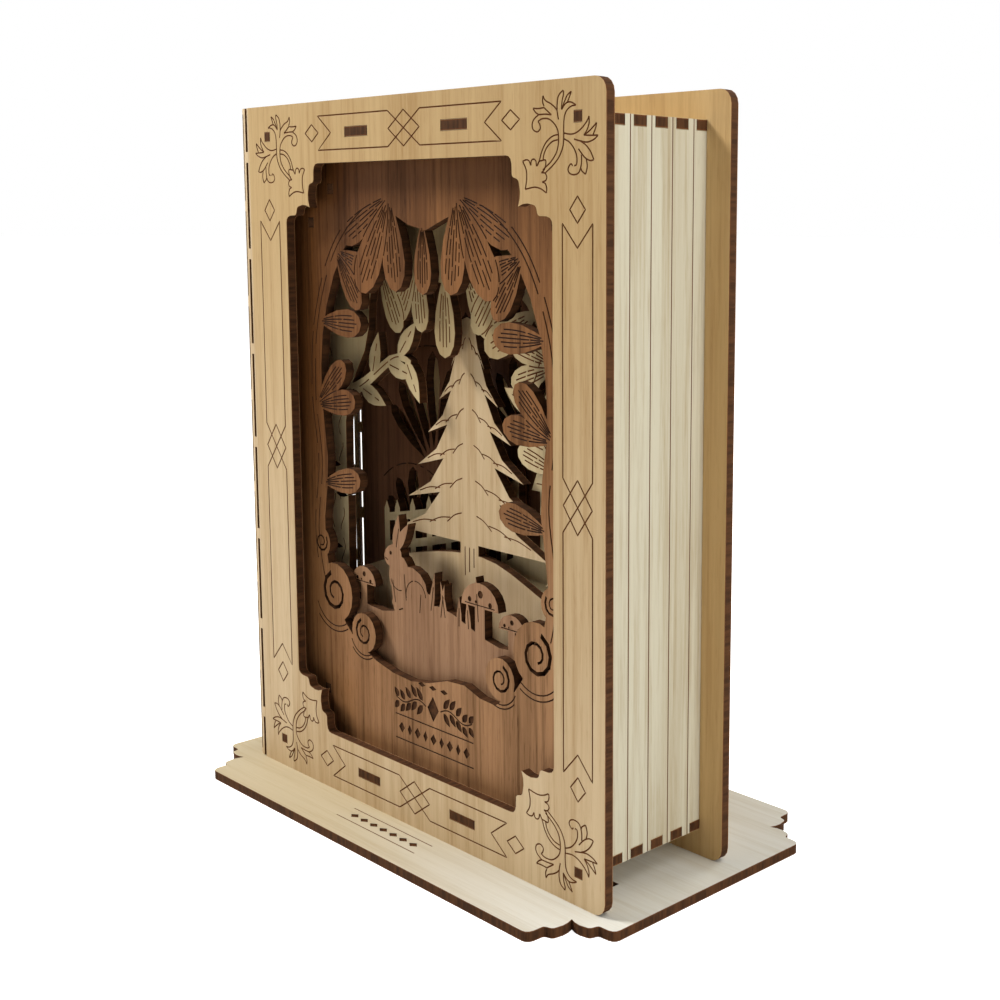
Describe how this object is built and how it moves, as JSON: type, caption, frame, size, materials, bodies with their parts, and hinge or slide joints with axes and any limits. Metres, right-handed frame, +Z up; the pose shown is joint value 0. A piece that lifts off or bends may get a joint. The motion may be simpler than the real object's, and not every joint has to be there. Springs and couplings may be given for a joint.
{
  "type": "book lamp",
  "caption": "Book-shaped shadow-box lamp of laser-cut veneered board: a wrapped cover with living hinges, a window on layered cut-out scenery, a page edge and an ornamental base.",
  "frame": {"origin": "middle of the base plate's underside", "axes": "+Z up, -Y towards the viewer in front of the window, +X towards the page edge, -X towards the spine"},
  "size_m": [0.193, 0.11, 0.223],
  "materials": {
    "veneer": "satin, light veneer with fine grain and laser-burnt brown edges",
    "pale_veneer": "satin, pale veneer with laser-burnt edges",
    "walnut": "satin, mid-brown veneer with laser-burnt edges",
    "light_walnut": "satin, lighter brown veneer with laser-burnt edges",
    "dark_walnut": "satin, brown veneer with laser-burnt edges",
    "black_plastic": "fine spark-eroded texture",
    "steel": "nickel-plated, satin",
    "strip_white": "white flexible strip",
    "led_yellow": "yellow phosphor",
    "cell_sleeve": "plain printed sleeve without words",
    "red_cover": "wire cover",
    "black_cover": "wire cover"
  },
  "bodies": {
    "lamp": {"base_plate": "pale_veneer", "cover_front_board": "veneer", "cover_front_hinge": "veneer", "cover_spine": "veneer", "cover_back_hinge": "veneer", "cover_back_board": "veneer", "bottom_panel": "pale_veneer", "top_panel": "pale_veneer", "page_panel": "pale_veneer", "arch_layer": "walnut", "meadow_layer": "light_walnut", "bough_layer": "veneer", "fir_layer": "veneer", "fence_layer": "pale_veneer", "forest_layer": "dark_walnut", "spacer_rod_1": "walnut", "spacer_rod_2": "walnut", "spacer_rod_3": "walnut", "spacer_rod_4": "walnut", "spacer_rod_5": "walnut", "spacer_rod_6": "walnut", "battery_holder": "black_plastic", "cell_1": "cell_sleeve", "spring_contact_1": "steel", "plate_contact_1": "steel", "cell_2": "cell_sleeve", "spring_contact_2": "steel", "plate_contact_2": "steel", "cell_3": "cell_sleeve", "spring_contact_3": "steel", "plate_contact_3": "steel", "switch_body": "steel", "light_strip": "strip_white", "led_1": "led_yellow", "led_2": "led_yellow", "led_3": "led_yellow", "led_4": "led_yellow", "led_5": "led_yellow", "led_6": "led_yellow", "led_7": "led_yellow", "red_lead": "red_cover", "black_lead": "black_cover"},
    "battery_lid": {"battery_lid": "black_plastic"},
    "switch_knob": {"switch_knob": "black_plastic"}
  },
  "joints": [
    {"name": "battery_lid_slide", "type": "slide", "parent": "lamp", "child": "battery_lid", "axis": [-1, 0, 0], "range_m": [0, 0.048]},
    {"name": "switch_knob_slide", "type": "slide", "parent": "lamp", "child": "switch_knob", "axis": [0, 0, 1], "range_m": [0, 0.002]}
  ]
}
